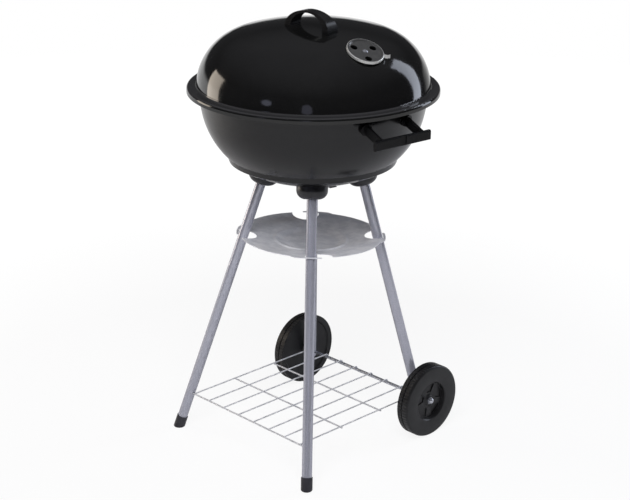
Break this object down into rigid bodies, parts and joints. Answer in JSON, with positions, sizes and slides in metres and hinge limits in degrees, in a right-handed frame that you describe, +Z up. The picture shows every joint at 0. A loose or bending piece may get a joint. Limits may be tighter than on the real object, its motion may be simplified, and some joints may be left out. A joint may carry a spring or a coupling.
{
  "type": "kettle charcoal grill",
  "caption": "Round kettle charcoal grill: domed lid with vent, deep bowl on splayed tube legs, twist-on ash pan, wire shelf and a pair of wheels.",
  "frame": {"origin": "on the ground under the kettle's axis", "axes": "+Z up, +X along the axle to the right wheel, +Y towards the wheels"},
  "size_m": [0.4888, 0.44, 0.7984],
  "materials": {
    "enamel_lid": "gloss black vitreous enamel",
    "enamel_bowl": "semi-gloss charcoal enamel",
    "bakelite": "moulded black thermoset grips",
    "socket_plastic": "smooth black moulded plastic",
    "silver_tube": "silver powder coat on steel tube",
    "cap_plastic": "moulded dark plastic",
    "pan_sheet": "galvanised pressed sheet",
    "chrome_wire": "chrome-plated wire and rod",
    "wheel_plastic": "moulded black plastic",
    "zinc": "zinc-plated fasteners",
    "damper_steel": "enamelled pressed steel",
    "grate_wire": "nickel-chrome plated wire",
    "coal_wire": "bare steel wire"
  },
  "bodies": {
    "kettle_stand": {"bowl_shell": "enamel_bowl", "bowl_damper_rivet": "zinc", "side_handle_right": "bakelite", "side_handle_left": "bakelite", "side_handle_screws": "zinc", "leg_bolts": "zinc", "leg_nuts": "zinc", "cap_foot_left": "cap_plastic", "cap_foot_right": "cap_plastic", "wire_shelf": "chrome_wire", "axle": "chrome_wire", "axle_nuts": "zinc", "axle_spacers": "zinc", "grate_brackets": "enamel_bowl", "leg_foot_left": "silver_tube", "leg_socket_foot_left": "socket_plastic", "leg_foot_right": "silver_tube", "leg_socket_foot_right": "socket_plastic", "leg_wheel_left": "silver_tube", "leg_socket_wheel_left": "socket_plastic", "leg_wheel_right": "silver_tube", "leg_socket_wheel_right": "socket_plastic"},
    "lid": {"lid_shell": "enamel_lid", "lid_handle": "bakelite", "lid_handle_screws": "zinc", "lid_damper_rivet": "zinc"},
    "lid_vent": {"lid_damper": "damper_steel"},
    "bottom_vent": {"bowl_damper": "damper_steel"},
    "wheel_l": {"wheel_left": "wheel_plastic"},
    "wheel_r": {"wheel_right": "wheel_plastic"},
    "pan": {"ash_pan": "pan_sheet"},
    "food_grate": {"cooking_grate": "grate_wire", "grate_handles": "grate_wire"},
    "coal_grate": {"charcoal_grate": "coal_wire"}
  },
  "joints": [
    {"name": "lid_lift", "type": "slide", "parent": "kettle_stand", "child": "lid", "axis": [0, 0, 1], "range_m": [0, 0.3]},
    {"name": "lid_vent_turn", "type": "hinge", "parent": "lid", "child": "lid_vent", "pos_m": [0.14416, -0.02309, 0.74658], "axis": [0.4215, -0.0675, 0.9043], "range_deg": [0, 60]},
    {"name": "bottom_vent_turn", "type": "hinge", "parent": "kettle_stand", "child": "bottom_vent", "pos_m": [0, 0, 0.488], "axis": [0, 0, 1], "range_deg": [-10, 36]},
    {"name": "wheel_left_spin", "type": "hinge", "parent": "kettle_stand", "child": "wheel_l", "pos_m": [-0.162, 0.1388, 0.0683], "axis": [1, 0, 0], "continuous": true},
    {"name": "wheel_right_spin", "type": "hinge", "parent": "kettle_stand", "child": "wheel_r", "pos_m": [0.162, 0.1388, 0.0683], "axis": [1, 0, 0], "continuous": true},
    {"name": "pan_twist", "type": "hinge", "parent": "kettle_stand", "child": "pan", "pos_m": [0, -0.003, 0.3847], "axis": [0, 0.0401, 0.9992], "range_deg": [-12.6, 0]},
    {"name": "food_grate_lift", "type": "slide", "parent": "kettle_stand", "child": "food_grate", "axis": [0, 0, 1], "range_m": [0, 0.03]},
    {"name": "coal_grate_lift", "type": "slide", "parent": "kettle_stand", "child": "coal_grate", "axis": [0, 0, 1], "range_m": [0, 0.05]}
  ]
}
